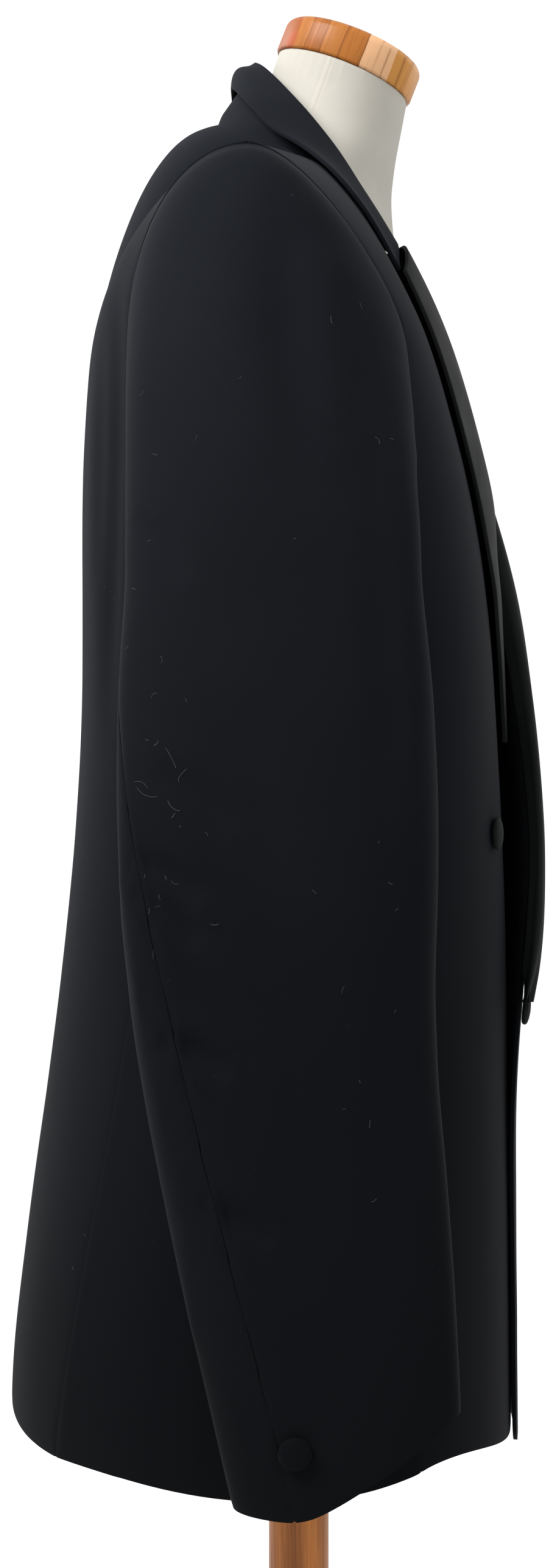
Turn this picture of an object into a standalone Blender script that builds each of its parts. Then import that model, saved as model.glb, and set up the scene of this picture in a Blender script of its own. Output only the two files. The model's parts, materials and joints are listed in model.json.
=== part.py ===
"""A double-breasted tuxedo jacket standing on a limbless dress form.

Metres, +Z up. The wearer faces -Y, the wearer's left is +X, and the origin is on the floor under the
pole. Every panel of the jacket is worked out for the wearer's left side and mirrored for the right.
"""
import math
from collections import namedtuple

import bmesh
import bpy
import numpy as np
from mathutils import Vector

# Cloth
WALL = 0.0020
SEAM = 0.0005
SHOULDER_SEAM = 0.0012
SLEEVE_SEAM = 0.0009
SEAM_COLUMN = 0.03
OVER_LIFT = 0.0036

# Fronts
OVERLAP = 0.082
BREAK_HEIGHT = 1.050
CORNER_RADIUS = 0.014
HEM_LEVEL = 0.825
HEM_FADE = 0.12

# Shoulders and neck
NECK_SIDE = (0.084, 0.000, 1.492)
NECK_BACK = (0.000, 0.050, 1.523)
NECK_SHARE = 0.42
COLLAR_BULGE = 0.0055
COLLAR_BULGE_END = 0.45
FRONT_ROUND = 0.5
BACK_ROUND = 0.82

# Armhole
ARM_Y = 0.0155
ARM_Z = 1.384
ARM_DEPTH = 0.0675
ARM_DROP = 0.084
ARM_RISE = 0.086
SHOULDER_TIP_X = 0.213
SHOULDER_TIP_Y = 0.026
SLEEVE_GAP = 0.0015
SIDE_TOP_STEP = 0.020

# Sleeves
CAP_END_Z = 1.260
CAP_OUT = 0.60
CAP_DOWN = 0.90
SLEEVE_SQUARE = 0.85

# Buttons
FRONT_BUTTON_RADIUS = 0.0085
CUFF_BUTTON_RADIUS = 0.0075
BUTTON_HEIGHT = 0.0045
BUTTON_CLEARANCE = 0.0004
DOME_SHARE = 0.45

# Dress form
POLE_RADIUS = 0.0166
POLE_SPREAD = 0.0006
POLE_TOP = 0.885
CAP_TILT = math.radians(21.4)
CAP_BASE_Y = -0.0245
CAP_BASE_Z = 1.5535
REST_GAP = 0.0003

BodySection = namedtuple("BodySection", "z back front mid width square")
BODY = (
    BodySection(0.780, 0.1565, -0.1155, 0.0200, 0.2060, 0.80),
    BodySection(0.850, 0.1550, -0.1150, 0.0200, 0.2040, 0.80),
    BodySection(0.920, 0.1480, -0.1145, 0.0160, 0.2000, 0.80),
    BodySection(1.000, 0.1370, -0.1135, 0.0120, 0.1920, 0.80),
    BodySection(1.080, 0.1270, -0.1125, 0.0100, 0.1870, 0.78),
    BodySection(1.150, 0.1200, -0.1100, 0.0100, 0.1860, 0.76),
    BodySection(1.215, 0.1175, -0.1057, 0.0100, 0.1880, 0.74),
    BodySection(1.300, 0.1175, -0.0970, 0.0155, 0.1970, 0.70),
    BodySection(1.345, 0.1165, -0.0850, 0.0155, 0.2070, 0.70),
    BodySection(1.384, 0.1130, -0.0730, 0.0155, 0.2167, 0.70),
)

# Angle round the body, in degrees from the centre back, against height
SeamPoint = namedtuple("SeamPoint", "z angle")
BACK_SEAM = (SeamPoint(0.80, 46), SeamPoint(0.90, 49), SeamPoint(1.05, 57), SeamPoint(1.20, 64),
             SeamPoint(1.33, 68.6), SeamPoint(1.40, 71))
FRONT_SEAM = (SeamPoint(0.80, 120), SeamPoint(1.05, 118), SeamPoint(1.20, 112), SeamPoint(1.32, 106),
              SeamPoint(1.40, 104))

HemPoint = namedtuple("HemPoint", "angle z")
HEM = (HemPoint(0, 0.836), HemPoint(45, 0.837), HemPoint(60, 0.838), HemPoint(90, 0.829),
       HemPoint(110, 0.831), HemPoint(125, 0.840), HemPoint(140, 0.836), HemPoint(155, 0.8265),
       HemPoint(170, 0.818), HemPoint(180, 0.816), HemPoint(215, 0.816))

SleeveSection = namedtuple("SleeveSection", "z back front inner outer")
SLEEVE = (
    SleeveSection(1.260, 0.0822, -0.0540, 0.2010, 0.2620),
    SleeveSection(1.200, 0.0860, -0.0610, 0.1980, 0.2640),
    SleeveSection(1.130, 0.0868, -0.0625, 0.1960, 0.2620),
    SleeveSection(1.060, 0.0805, -0.0610, 0.1980, 0.2600),
    SleeveSection(0.990, 0.0680, -0.0665, 0.2040, 0.2590),
    SleeveSection(0.915, 0.0517, -0.0712, 0.2100, 0.2570),
    SleeveSection(0.870, 0.0412, -0.0728, 0.2120, 0.2560),
    SleeveSection(0.810, 0.0270, -0.0740, 0.2140, 0.2550),
)

# Angle of the hind seam round the sleeve, from its front
HindSeam = namedtuple("HindSeam", "z angle")
HIND_SEAM = (HindSeam(1.260, 187), HindSeam(1.200, 172), HindSeam(1.165, 156), HindSeam(1.109, 141),
             HindSeam(1.069, 133), HindSeam(1.020, 128), HindSeam(0.948, 122), HindSeam(0.864, 115),
             HindSeam(0.810, 112))
FORE_SEAM_ANGLE = -38

CuffPoint = namedtuple("CuffPoint", "y z")
CUFF = (CuffPoint(-0.080, 0.888), CuffPoint(-0.073, 0.885), CuffPoint(-0.055, 0.873),
        CuffPoint(-0.040, 0.862), CuffPoint(-0.025, 0.8530), CuffPoint(-0.010, 0.8435),
        CuffPoint(0.040, 0.840))

# The collar from the centre back, 0, to its front end, 1
CollarPoint = namedtuple("CollarPoint", "along x y z")
NECK_SEAM = (CollarPoint(0.00, 0.0000, 0.0495, 1.5235), CollarPoint(0.15, 0.0220, 0.0475, 1.5215),
             CollarPoint(0.35, 0.0550, 0.0370, 1.5150), CollarPoint(0.50, 0.0735, 0.0225, 1.5060),
             CollarPoint(0.65, 0.0828, -0.0020, 1.4935), CollarPoint(0.80, 0.0765, -0.0260, 1.4760),
             CollarPoint(0.90, 0.0725, -0.0345, 1.4655), CollarPoint(1.00, 0.0680, -0.0430, 1.4520))
COLLAR_FOLD = (CollarPoint(0.00, 0.0000, 0.0250, 1.5600), CollarPoint(0.15, 0.0260, 0.0200, 1.5505),
               CollarPoint(0.35, 0.0580, 0.0050, 1.5270), CollarPoint(0.50, 0.0670, -0.0045, 1.5140),
               CollarPoint(0.65, 0.0730, -0.0180, 1.4955), CollarPoint(0.80, 0.0715, -0.0305, 1.4770),
               CollarPoint(0.90, 0.0690, -0.0400, 1.4630), CollarPoint(1.00, 0.0660, -0.0495, 1.4480))
COLLAR_EDGE = (CollarPoint(0.00, 0.0000, 0.0365, 1.5465), CollarPoint(0.15, 0.0300, 0.0360, 1.5390),
               CollarPoint(0.35, 0.0640, 0.0270, 1.5230), CollarPoint(0.50, 0.0820, 0.0150, 1.5060),
               CollarPoint(0.65, 0.0950, -0.0010, 1.4935), CollarPoint(0.80, 0.1065, -0.0190, 1.4752),
               CollarPoint(0.90, 0.1030, -0.0345, 1.4562), CollarPoint(1.00, 0.0920, -0.0505, 1.4300))

# A lapel from its top, 0, to its lower end, 1: its outer edge, and its height over the front
LapelRow = namedtuple("LapelRow", "roll_z edge_x edge_z lift")
LAPEL_LEFT = (LapelRow(1.444, 0.0960, 1.428, 0.95), LapelRow(1.396, 0.1000, 1.388, 1.20),
              LapelRow(1.310, 0.0860, 1.306, 1.20), LapelRow(1.210, 0.0520, 1.208, 0.85),
              LapelRow(1.135, 0.0103, 1.134, 0.52), LapelRow(1.084, -0.0360, 1.083, 0.62),
              LapelRow(1.064, -0.0610, 1.063, 0.48), LapelRow(1.050, -0.0730, 1.049, 0.16))
LAPEL_RIGHT = (LapelRow(1.444, 0.0960, 1.428, 0.95), LapelRow(1.396, 0.1000, 1.388, 1.20),
               LapelRow(1.310, 0.0860, 1.306, 1.30), LapelRow(1.275, 0.0760, 1.273, 0.65),
               LapelRow(1.250, 0.0680, 1.249, 0.55), LapelRow(1.185, 0.0460, 1.184, 0.50))

# Lapel's cross-section: run from the roll line over the front, as a distance plus a share of its width
FoldPoint = namedtuple("FoldPoint", "run share lift")
LAPEL_FOLD = (FoldPoint(-0.0021, 0.00, -0.0006), FoldPoint(-0.0042, 0.00, 0.0020),
              FoldPoint(-0.0058, 0.00, 0.0056), FoldPoint(-0.0040, 0.00, 0.0092),
              FoldPoint(0.0010, 0.00, 0.0114), FoldPoint(0.0, 0.25, 0.0114),
              FoldPoint(0.0, 0.50, 0.0102), FoldPoint(0.0, 0.75, 0.0080),
              FoldPoint(0.0, 1.00, 0.0048))

# The fall's cross-section, from the collar's fold out to its edge, lying over the stand's wall
FALL_FOLD = (FoldPoint(-0.0022, 0.00, 0.0004), FoldPoint(0.0020, 0.00, 0.0012), FoldPoint(0.0, 0.35, 0.0010),
             FoldPoint(0.0, 0.70, 0.0), FoldPoint(0.0, 1.00, 0.0))

# How far the left front stands off over the right lapel, against height
LiftPoint = namedtuple("LiftPoint", "z lift")
ROLL_LIFT = (LiftPoint(0.80, 0.0), LiftPoint(1.020, 0.0), LiftPoint(1.050, 0.0035), LiftPoint(1.080, 0.0100),
             LiftPoint(1.19, 0.0110), LiftPoint(1.25, 0.0075), LiftPoint(1.28, 0.0060),
             LiftPoint(1.34, 0.0), LiftPoint(1.50, 0.0))

# Large soft folds, hollow where the depth is negative, with angles round the body or the sleeve
Crease = namedtuple("Crease", "top_z top_angle foot_z foot_angle width depth")
BACK_CREASES = (Crease(1.440, 49, 1.180, 45, 7, -0.0034), Crease(1.430, 36, 1.200, 34, 6, 0.0016))
SLEEVE_CREASES = (Crease(1.470, 84, 1.270, 68, 16, -0.0030), Crease(1.420, 44, 1.040, 34, 13, 0.0016),
                  Crease(1.190, 100, 1.060, 128, 12, -0.0022))

# Outlines of the turned pieces, down their outer sides
OutlinePoint = namedtuple("OutlinePoint", "radius z")
CAP_OUTLINE = (OutlinePoint(0.0000, 0.0200), OutlinePoint(0.0363, 0.0200), OutlinePoint(0.0388, 0.0190),
               OutlinePoint(0.0398, 0.0165), OutlinePoint(0.0398, 0.0035), OutlinePoint(0.0388, 0.0010),
               OutlinePoint(0.0363, 0.0000), OutlinePoint(0.0000, 0.0000))
BASE_OUTLINE = (OutlinePoint(0.000, 0.046), OutlinePoint(0.024, 0.046), OutlinePoint(0.030, 0.042),
                OutlinePoint(0.034, 0.030), OutlinePoint(0.060, 0.026), OutlinePoint(0.165, 0.022),
                OutlinePoint(0.182, 0.018), OutlinePoint(0.189, 0.011), OutlinePoint(0.190, 0.004),
                OutlinePoint(0.187, 0.000), OutlinePoint(0.000, 0.000))

ButtonPlace = namedtuple("ButtonPlace", "name x z lifted")
FRONT_BUTTONS = (ButtonPlace("button_upper_right", -0.104, 1.139, False),
                 ButtonPlace("button_lower_right", -0.066, 1.044, True),
                 ButtonPlace("button_lower_left", 0.066, 1.044, True),
                 ButtonPlace("button_upper_left", 0.104, 1.139, True))
CUFF_BUTTON_Y = 0.0040
CUFF_BUTTON_Z = 0.8710
CUFF_BUTTON_SINK = 0.0001

FormRing = namedtuple("FormRing", "z back front mid width square tilt")
FORM = (
    FormRing(0.8856, 0.115, -0.073, 0.018, 0.150, 0.85, 0),
    FormRing(0.8920, 0.132, -0.090, 0.018, 0.170, 0.85, 0),
    FormRing(0.9100, 0.138, -0.098, 0.018, 0.178, 0.85, 0),
    FormRing(1.0000, 0.126, -0.099, 0.012, 0.170, 0.85, 0),
    FormRing(1.1000, 0.113, -0.098, 0.010, 0.164, 0.85, 0),
    FormRing(1.2000, 0.108, -0.094, 0.010, 0.165, 0.85, 0),
    FormRing(1.3000, 0.108, -0.084, 0.012, 0.172, 0.85, 0),
    FormRing(1.3600, 0.105, -0.067, 0.014, 0.178, 0.88, 0),
    FormRing(1.4000, 0.098, -0.060, 0.015, 0.182, 1.00, 0),
    FormRing(1.4300, 0.088, -0.057, 0.015, 0.176, 1.20, 0),
    FormRing(1.4500, 0.078, -0.055, 0.014, 0.158, 1.45, 0),
    FormRing(1.4670, 0.067, -0.053, 0.010, 0.134, 1.65, 0),
    FormRing(1.4825, 0.052, -0.052, 0.003, 0.104, 1.75, 0),
    FormRing(1.4910, 0.040, -0.052, -0.004, 0.068, 1.35, 2),
    FormRing(1.5100, 0.030, -0.054, -0.011, 0.051, 1.00, 6),
    FormRing(1.5250, 0.0235, -0.0568, -0.0165, 0.0440, 1.00, 11),
    FormRing(1.5400, 0.0180, -0.0600, -0.0210, 0.0405, 1.00, 17),
    FormRing(1.5531, 0.0138, -0.0628, -0.0245, 0.0388, 1.00, 21.4),
)

# Grid sizes
BACK_COLUMNS = 15
FRONT_COLUMNS = 13
PANEL_LOW_ROWS = (0.0, 0.005, 0.014, 0.04, 0.10, 0.17, 0.24, 0.31, 0.38, 0.44, 0.50, 0.559)
PANEL_TOP_ROWS = 7
SIDE_COLUMNS = 7
TOP_SLEEVE_COLUMNS = 17
UNDER_SLEEVE_COLUMNS = 11
CAP_ROWS = 8
SLEEVE_LOW_ROWS = (0.12, 0.24, 0.36, 0.48, 0.60, 0.72, 0.84, 0.94, 0.985, 1.0)
LAPEL_STEPS = 13
COLLAR_STEPS = 40
STAND_SHARES = (0.03, 0.35, 0.7, 1.0)
FORM_SEGMENTS = 40
BUTTON_SEGMENTS = 20
CAP_SEGMENTS = 48
POLE_SEGMENTS = 32
BASE_SEGMENTS = 56


def clear_scene():
    """Remove every object that the new scene came with."""
    for obj in list(bpy.data.objects):
        bpy.data.objects.remove(obj, do_unlink=True)


def read(table, key, column, value):
    """Value of one column at a key, on a smooth curve through the table's rows."""
    keys = np.array([getattr(row, key) for row in table])
    values = np.array([getattr(row, column) for row in table])
    if keys[0] > keys[-1]:
        keys, values = keys[::-1], values[::-1]
    value = min(max(value, keys[0]), keys[-1])
    slopes = np.gradient(values, keys)
    i = min(int(np.searchsorted(keys, value, side="right")) - 1, len(keys) - 2)
    step = keys[i + 1] - keys[i]
    t = (value - keys[i]) / step
    return ((2 * t ** 3 - 3 * t ** 2 + 1) * values[i] + (t ** 3 - 2 * t ** 2 + t) * step * slopes[i]
            + (3 * t ** 2 - 2 * t ** 3) * values[i + 1] + (t ** 3 - t ** 2) * step * slopes[i + 1])


def smooth_step(edge_0, edge_1, value):
    """0 at the first edge, 1 at the second, with a soft change between."""
    t = min(max((value - edge_0) / (edge_1 - edge_0), 0.0), 1.0)
    return t * t * (3 - 2 * t)


def signed_power(value, power):
    """Power of a value that keeps its sign."""
    return math.copysign(abs(value) ** power, value)


def seam_shares(columns):
    """Even shares from 0 to 1, with a narrow column along the seam at each end."""
    middle = np.linspace(0.0, 1.0, columns - 2)
    return np.concatenate([[0.0, SEAM_COLUMN], middle[1:-1], [1.0 - SEAM_COLUMN, 1.0]])


def even(points, shares):
    """Resample a polyline at shares of its length."""
    points = np.asarray(points)
    lengths = np.concatenate([[0.0], np.cumsum(np.linalg.norm(np.diff(points, axis=0), axis=1))])
    marks = np.asarray(shares) * lengths[-1]
    return np.stack([np.interp(marks, lengths, points[:, axis]) for axis in range(3)], axis=1)


def body_section(z):
    """The body's section at a height."""
    return BodySection(z, *(read(BODY, "z", column, z) for column in BodySection._fields[1:]))


def body_point(angle, z):
    """Point of the body's outer surface at an angle from the centre back, at a height."""
    section = body_section(z)
    sine, cosine = math.sin(math.radians(angle)), math.cos(math.radians(angle))
    reach = section.back - section.mid if cosine > 0 else section.mid - section.front
    return (section.width * signed_power(sine, section.square),
            section.mid + reach * signed_power(cosine, section.square), z)


def angle_at_x(x, z):
    """Angle on the front half where the body's surface has this x, negative past the centre front."""
    section = body_section(z)
    sine = min((abs(x) / section.width) ** (1 / section.square), 1.0)
    return 180 - math.copysign(math.degrees(math.asin(sine)), x)


def angle_at_y(y, z):
    """Angle on the wearer's left half where the body's surface has this y."""
    section = body_section(z)
    reach = section.back - section.mid if y > section.mid else section.mid - section.front
    cosine = signed_power(min(abs(y - section.mid) / reach, 1.0), 1 / section.square)
    return math.degrees(math.acos(math.copysign(cosine, y - section.mid)))


def armhole_point(angle):
    """Point of the armhole: 0 is its front, 90 the shoulder tip, 180 its back, 270 the armpit."""
    sine, cosine = math.sin(math.radians(angle)), math.cos(math.radians(angle))
    if sine <= 0:
        y, z = ARM_Y - ARM_DEPTH * cosine, ARM_Z + ARM_DROP * sine
        return (body_point(angle_at_y(y, z), z)[0], y, z)
    side_y = ARM_Y - math.copysign(ARM_DEPTH, cosine)
    side_x = body_point(angle_at_y(side_y, ARM_Z), ARM_Z)[0]
    keep = rounded(sine, FRONT_ROUND if cosine > 0 else 1.0)
    return (side_x + (SHOULDER_TIP_X - side_x) * sine,
            SHOULDER_TIP_Y + (side_y - SHOULDER_TIP_Y) * keep, ARM_Z + ARM_RISE * sine)


def rounded(rise, round_part):
    """How much of its depth the body keeps at a rise, 0 to 1, towards the shoulder: 1 at 0, 0 at 1."""
    return round_part * math.sqrt(max(1 - rise * rise, 0.0)) + (1 - round_part) * (1 - rise)


def armhole_y(z, side):
    """The armhole's y at a height below its middle, on its back (1) or front (-1) side."""
    sine = min(max((ARM_Z - z) / ARM_DROP, 0.0), 1.0)
    return ARM_Y + side * ARM_DEPTH * math.sqrt(1 - sine * sine)


def edge_angle(z, seam, side):
    """Angle of a panel's outer edge: its seam, or the armhole above the seam's end."""
    on_seam = read(seam, "z", "angle", z)
    if z <= ARM_Z - ARM_DROP:
        return on_seam
    on_armhole = angle_at_y(armhole_y(z, side), z)
    return min(on_seam, on_armhole) if side > 0 else max(on_seam, on_armhole)


def hem_shift(angle, z):
    """How far the hem's curve moves a point near the hem up or down."""
    fade = max(0.0, 1 - (z - HEM_LEVEL) / HEM_FADE)
    return (read(HEM, "angle", "z", min(abs(angle), 215)) - HEM_LEVEL) * fade


def crease_depth(creases, angle, z):
    """How far the creases move the surface out at an angle and a height."""
    depth = 0.0
    for crease in creases:
        down = (crease.top_z - z) / (crease.top_z - crease.foot_z)
        if 0 < down < 1:
            away = (angle - crease.top_angle - (crease.foot_angle - crease.top_angle) * down) / crease.width
            depth += crease.depth * math.sin(math.pi * down) * math.exp(-away * away)
    return depth


def body_row(z, start, end, columns, creases=()):
    """Even points of the body's surface between two angles, with the hem's curve and any creases."""
    points = []
    middle = body_section(z).mid
    for step in range(121):
        share = step / 120
        angle = start + (end - start) * share
        x, y, _ = body_point(angle, z)
        scale = 1 + crease_depth(creases, angle, z) * 4 * share * (1 - share) / math.hypot(x, y - middle)
        points.append((x * scale, middle + (y - middle) * scale, z + hem_shift(angle, z)))
    return even(points, seam_shares(columns))


def blend_rows(low, top, front):
    """Rows from the chest line up to the shoulder, which curve in over the top."""
    rows = []
    columns = len(low)
    for step in range(1, PANEL_TOP_ROWS + 1):
        rise = math.sin(math.radians(90 * step / PANEL_TOP_ROWS))
        row = []
        for index in range(columns):
            share = index / (columns - 1)
            round_part = FRONT_ROUND if front else BACK_ROUND + (1 - BACK_ROUND) * share * share
            point = low[index] + (top[index] - low[index]) * rise
            point[1] = top[index][1] + (low[index][1] - top[index][1]) * rounded(rise, round_part)
            row.append(point)
        rows.append(np.array(row))
    return rows


def shoulder_line(shares):
    """Even points of the shoulder seam from the neck to the shoulder tip."""
    span = np.array(armhole_point(90)) - NECK_SIDE
    return np.array([np.array(NECK_SIDE) + span * share for share in shares])


def back_grid():
    """The back's outer surface, from the centre back seam to the side seam and armhole."""
    rows = [body_row(z, 0, edge_angle(z, BACK_SEAM, 1), BACK_COLUMNS, BACK_CREASES)
            for z in panel_heights()]
    top = []
    for share in seam_shares(BACK_COLUMNS):
        if share < NECK_SHARE:
            turn = math.radians(90 * share / NECK_SHARE)
            top.append((NECK_SIDE[0] * math.sin(turn),
                        NECK_SIDE[1] + (NECK_BACK[1] - NECK_SIDE[1]) * math.cos(turn),
                        NECK_SIDE[2] + (NECK_BACK[2] - NECK_SIDE[2]) * math.cos(turn)))
        else:
            top.append(shoulder_line([(share - NECK_SHARE) / (1 - NECK_SHARE)])[0])
    top = np.array(top)
    return np.array(rows + blend_rows(rows[-1], top, False))


def panel_heights():
    """Heights of the back's and front's rows, from the hem to the chest line."""
    return [HEM_LEVEL + rise for rise in PANEL_LOW_ROWS]


def roll_x(z):
    """The roll line's x at a height, or the front edge's below the break."""
    if z > BREAK_HEIGHT:
        return -OVERLAP + (z - BREAK_HEIGHT) * (NECK_SIDE[0] + OVERLAP) / (NECK_SIDE[2] - BREAK_HEIGHT)
    rise = z - HEM_LEVEL
    if rise >= CORNER_RADIUS:
        return -OVERLAP
    return -OVERLAP + CORNER_RADIUS - math.sqrt(CORNER_RADIUS ** 2 - (CORNER_RADIUS - rise) ** 2)


def front_grid():
    """The front's outer surface on the body, from its front edge and roll line to the side and armhole."""
    rows = []
    for z in panel_heights():
        start = angle_at_x(roll_x(z), z)
        rows.append(body_row(z, start, edge_angle(z, FRONT_SEAM, -1), FRONT_COLUMNS))
    top = shoulder_line(seam_shares(FRONT_COLUMNS))
    return np.array(rows + blend_rows(rows[-1], top, True))


def roll_lift(x, z):
    """How far the left front lies out over the right one."""
    on_overlap = 1 - smooth_step(0.085, 0.135, x)
    standing = read(ROLL_LIFT, "z", "lift", z) * (1 - smooth_step(0.02, 0.095, x))
    fade_top = 1 - smooth_step(1.30, 1.40, z)
    return OVER_LIFT * on_overlap * fade_top + max(standing, 0.0)


def lift_front(grid):
    """The left front's points, moved out over the right front."""
    lifted = grid.copy()
    for row in lifted:
        for point in row:
            point[1] -= roll_lift(point[0], point[2])
    return lifted


def side_grid():
    """The side panel's outer surface, between the two side seams, up to the armpit."""
    rows = []
    heights = [z for z in panel_heights() if z < ARM_Z - ARM_DROP - SIDE_TOP_STEP]
    for z in heights + [None]:
        row = []
        for share in seam_shares(SIDE_COLUMNS):
            height = z or armpit_height(share)
            x, y, _ = body_point(side_angle(share, height), height)
            row.append((x, y, height + hem_shift(side_angle(share, height), height)))
        rows.append(row)
    return np.array(rows)


def side_angle(share, z):
    """Angle of a column of the side panel at a height."""
    back, front = read(BACK_SEAM, "z", "angle", z), read(FRONT_SEAM, "z", "angle", z)
    return back + (front - back) * share


def armpit_height(share):
    """Height where a column of the side panel meets the armhole."""
    low, high = ARM_Z - ARM_DROP, ARM_Z
    for _ in range(40):
        z = (low + high) / 2
        y = body_point(side_angle(share, z), z)[1]
        inside = (y - ARM_Y) ** 2 / ARM_DEPTH ** 2 + (z - ARM_Z) ** 2 / ARM_DROP ** 2 < 1
        low, high = (low, z) if inside else (z, high)
    return high


def trim(grid, start=0.0, end=0.0, bottom=0.0, top=0.0):
    """Draw a grid's borders in by these widths, which parts it from its neighbours."""
    out = grid.copy()
    for edge, inner, width in ((0, 1, start), (-1, -2, end)):
        step = grid[:, inner] - grid[:, edge]
        out[:, edge] += width * step / np.linalg.norm(step, axis=1, keepdims=True)
    for edge, inner, width in ((0, 1, bottom), (-1, -2, top)):
        step = grid[inner] - grid[edge]
        out[edge] += width * step / np.linalg.norm(step, axis=1, keepdims=True)
    return out


def mirrored(grid):
    """The same grid on the wearer's right."""
    return grid * np.array([-1.0, 1.0, 1.0])


def sleeve_ring(z, angle):
    """Point of the sleeve's outer surface below the cap: 0 is its front, 90 its outer face."""
    section = SleeveSection(z, *(read(SLEEVE, "z", column, z) for column in SleeveSection._fields[1:]))
    sine, cosine = math.sin(math.radians(angle)), math.cos(math.radians(angle))
    across, along = (section.outer - section.inner) / 2, (section.back - section.front) / 2
    x = section.inner + across * (1 + signed_power(sine, SLEEVE_SQUARE))
    y = section.front + along * (1 - signed_power(cosine, SLEEVE_SQUARE))
    return np.array((x, y, z))


def sleeve_point(angle, level):
    """Point of the sleeve at an angle: level 0 to 1 runs over the cap, and 1 to 2 down to the cuff."""
    if level <= 1:
        start = np.array(armhole_point(angle)) + (SLEEVE_GAP, 0, 0)
        end = sleeve_ring(CAP_END_Z, angle)
        span = np.linalg.norm(end - start)
        out = span * CAP_OUT * np.array((1.0, 0.0, -0.10))
        down = span * CAP_DOWN * np.array((0.0, 0.0, -1.0))
        t = level
        return ((2 * t ** 3 - 3 * t ** 2 + 1) * start + (t ** 3 - 2 * t ** 2 + t) * out
                + (3 * t ** 2 - 2 * t ** 3) * end + (t ** 3 - t ** 2) * down)
    share = level - 1
    z = CAP_END_Z
    for _ in range(4):
        bottom = read(CUFF, "y", "z", sleeve_ring(max(z, 0.82), angle)[1])
        z = CAP_END_Z + (bottom - CAP_END_Z) * share
    return sleeve_ring(z, angle)


def sleeve_levels():
    """Levels of the sleeve's rows."""
    return [step / CAP_ROWS for step in range(CAP_ROWS + 1)] + [1 + share for share in SLEEVE_LOW_ROWS]


def sleeve_grid(under):
    """The outer surface of the top or the under sleeve."""
    shares = seam_shares(UNDER_SLEEVE_COLUMNS if under else TOP_SLEEVE_COLUMNS)
    rows = []
    for level in sleeve_levels():
        z = CAP_END_Z - max(level - 1, 0.0) * (CAP_END_Z - HEM_LEVEL)
        hind = read(HIND_SEAM, "z", "angle", z)
        first, last = (hind, 360 + FORE_SEAM_ANGLE) if under else (FORE_SEAM_ANGLE, hind)
        rows.append([creased_sleeve_point(first + (last - first) * share, level, share) for share in shares])
    return np.array(rows)


def creased_sleeve_point(angle, level, share):
    """Point of the sleeve with its creases, which fade out towards the seams and the armhole."""
    point = sleeve_point(angle, level)
    fade = smooth_step(0.0, 0.15, share) * smooth_step(1.0, 0.85, share) * smooth_step(0.0, 0.3, level)
    outward = np.array((math.sin(math.radians(angle)), -math.cos(math.radians(angle)), 0.0))
    return point + outward * crease_depth(SLEEVE_CREASES, angle, point[2]) * fade


def front_surface(grid, x, z):
    """The front grid's y at an x and a height, and its outward direction."""
    def depth(at_x, at_z):
        """The grid's y nearest to a place, from the rows above and below."""
        heights = [np.interp(at_x, row[:, 0], row[:, 2]) for row in grid]
        depths = [np.interp(at_x, row[:, 0], row[:, 1]) for row in grid]
        return float(np.interp(at_z, heights, depths))
    step = 0.004
    across = (depth(x + step, z) - depth(x - step, z)) / (2 * step)
    upward = (depth(x, z + step) - depth(x, z - step)) / (2 * step)
    normal = np.array((across, -1.0, upward))
    return depth(x, z), normal / np.linalg.norm(normal)


def lapel_grid(front, rows_table):
    """A lapel's skin: it leaves the front at the roll line, turns over and lies back on it."""
    rows = []
    count = len(rows_table) - 1
    rank_keys = np.arange(count + 1)
    for step in range(LAPEL_STEPS + 1):
        rank = step / LAPEL_STEPS * count
        roll_z, edge_x, edge_z, height = (
            float(np.interp(rank, rank_keys, [getattr(row, column) for row in rows_table]))
            for column in LapelRow._fields)
        start_x = roll_x(roll_z)
        width = edge_x - start_x
        row = []
        for fold in LAPEL_FOLD:
            reach = fold.run + fold.share * width
            x = start_x + reach
            z = roll_z + (edge_z - roll_z) * min(max(reach / width, 0.0), 1.0)
            y, normal = front_surface(front, max(x, start_x + 0.001), z)
            stretch = height + (1 - height) * fold.share
            row.append(np.array((x, y, z)) + normal * fold.lift * stretch)
        rows.append(row)
    return np.array(rows)


def collar_line(table, along):
    """Point of one of the collar's lines, mirrored for the wearer's right."""
    reach = abs(along)
    return np.array((math.copysign(read(table, "along", "x", reach), along),
                     read(table, "along", "y", reach), read(table, "along", "z", reach)))


def stand_grid():
    """The collar's stand, from the neck seam up to its fold."""
    rows = []
    for step in range(COLLAR_STEPS + 1):
        along = -1 + 2 * step / COLLAR_STEPS
        low, high = collar_line(NECK_SEAM, along), collar_line(COLLAR_FOLD, along)
        rows.append([low + (high - low) * share for share in STAND_SHARES])
    return np.array(rows)


def fall_grid():
    """The collar's fall, from its fold out and down to its edge."""
    rows = []
    near = 0.02
    for step in range(COLLAR_STEPS + 1):
        along = -1 + 2 * step / COLLAR_STEPS
        low, fold, edge = (collar_line(table, along) for table in (NECK_SEAM, COLLAR_FOLD, COLLAR_EDGE))
        ahead = (collar_line(COLLAR_FOLD, min(along + near, 1))
                 - collar_line(COLLAR_FOLD, max(along - near, -1)))
        across = (edge - fold) / np.linalg.norm(edge - fold)
        normal = np.cross(across, ahead)
        normal /= np.linalg.norm(normal)
        if np.dot(normal, fold - low) < 0:
            normal = -normal
        width = np.linalg.norm(edge - fold)
        bulge = COLLAR_BULGE * (1 - smooth_step(0.0, COLLAR_BULGE_END, abs(along)))
        rows.append([fold + across * (turn.run + turn.share * width)
                     + normal * (WALL + turn.lift + bulge * 4 * turn.share * (1 - turn.share))
                     for turn in FALL_FOLD])
    return np.array(rows)


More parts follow.
